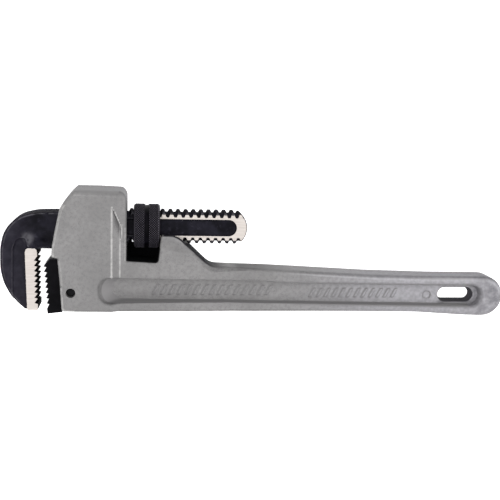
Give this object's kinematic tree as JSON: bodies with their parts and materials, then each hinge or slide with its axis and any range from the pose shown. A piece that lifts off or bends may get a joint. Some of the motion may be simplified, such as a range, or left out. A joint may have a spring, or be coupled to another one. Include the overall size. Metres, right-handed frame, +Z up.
{
  "type": "pipe wrench",
  "caption": "Straight pipe wrench with a cast light-alloy body, forged hook jaw on a threaded shank, adjusting nut and pinned heel jaw.",
  "frame": {"origin": "middle of the wrench's outline, on the plane its lower cheek lies on", "axes": "the wrench lies on its side: +X along the handle from the jaws to the hanging slot, +Y across it towards the threaded shank, +Z up through the thickness"},
  "size_m": [0.35, 0.086, 0.036],
  "materials": {
    "cast_alloy": "blasted cast light alloy, satin",
    "forged_steel": "blackened forging with ground flats",
    "jaw_steel": "blackened, machined teeth",
    "nut_steel": "blackened, diamond knurl",
    "pin_steel": "dark oiled steel",
    "spring_steel": "blue-grey spring steel"
  },
  "bodies": {
    "frame_body": {"handle_frame": "cast_alloy", "heel_jaw": "jaw_steel", "heel_jaw_pin": "pin_steel", "coil_spring": "spring_steel"},
    "spring_body": {"flat_spring": "spring_steel", "spring_rivet": "pin_steel"},
    "nut_body": {"adjusting_nut": "nut_steel"},
    "hook_body": {"hook_jaw": "forged_steel"}
  },
  "joints": [
    {"name": "jaw_rock", "type": "hinge", "parent": "frame_body", "child": "spring_body", "pos_m": [-0.0975, 0.033, 0.018], "axis": [0, 0, 1], "range_deg": [-1.5, 0.6], "stiffness_Nm_per_rad": 2},
    {"name": "nut_spin", "type": "hinge", "parent": "spring_body", "child": "nut_body", "pos_m": [-0.079, 0.0178, 0.018], "axis": [1, 0, 0], "range_deg": [-192, 3866]},
    {"name": "jaw_slide", "type": "slide", "parent": "spring_body", "child": "hook_body", "axis": [1, 0, 0], "range_m": [-0.0558, 0.00275]}
  ],
  "couplings": [
    {"joint": "nut_spin", "follows": "jaw_slide", "rad_per_m": -1208.3}
  ]
}
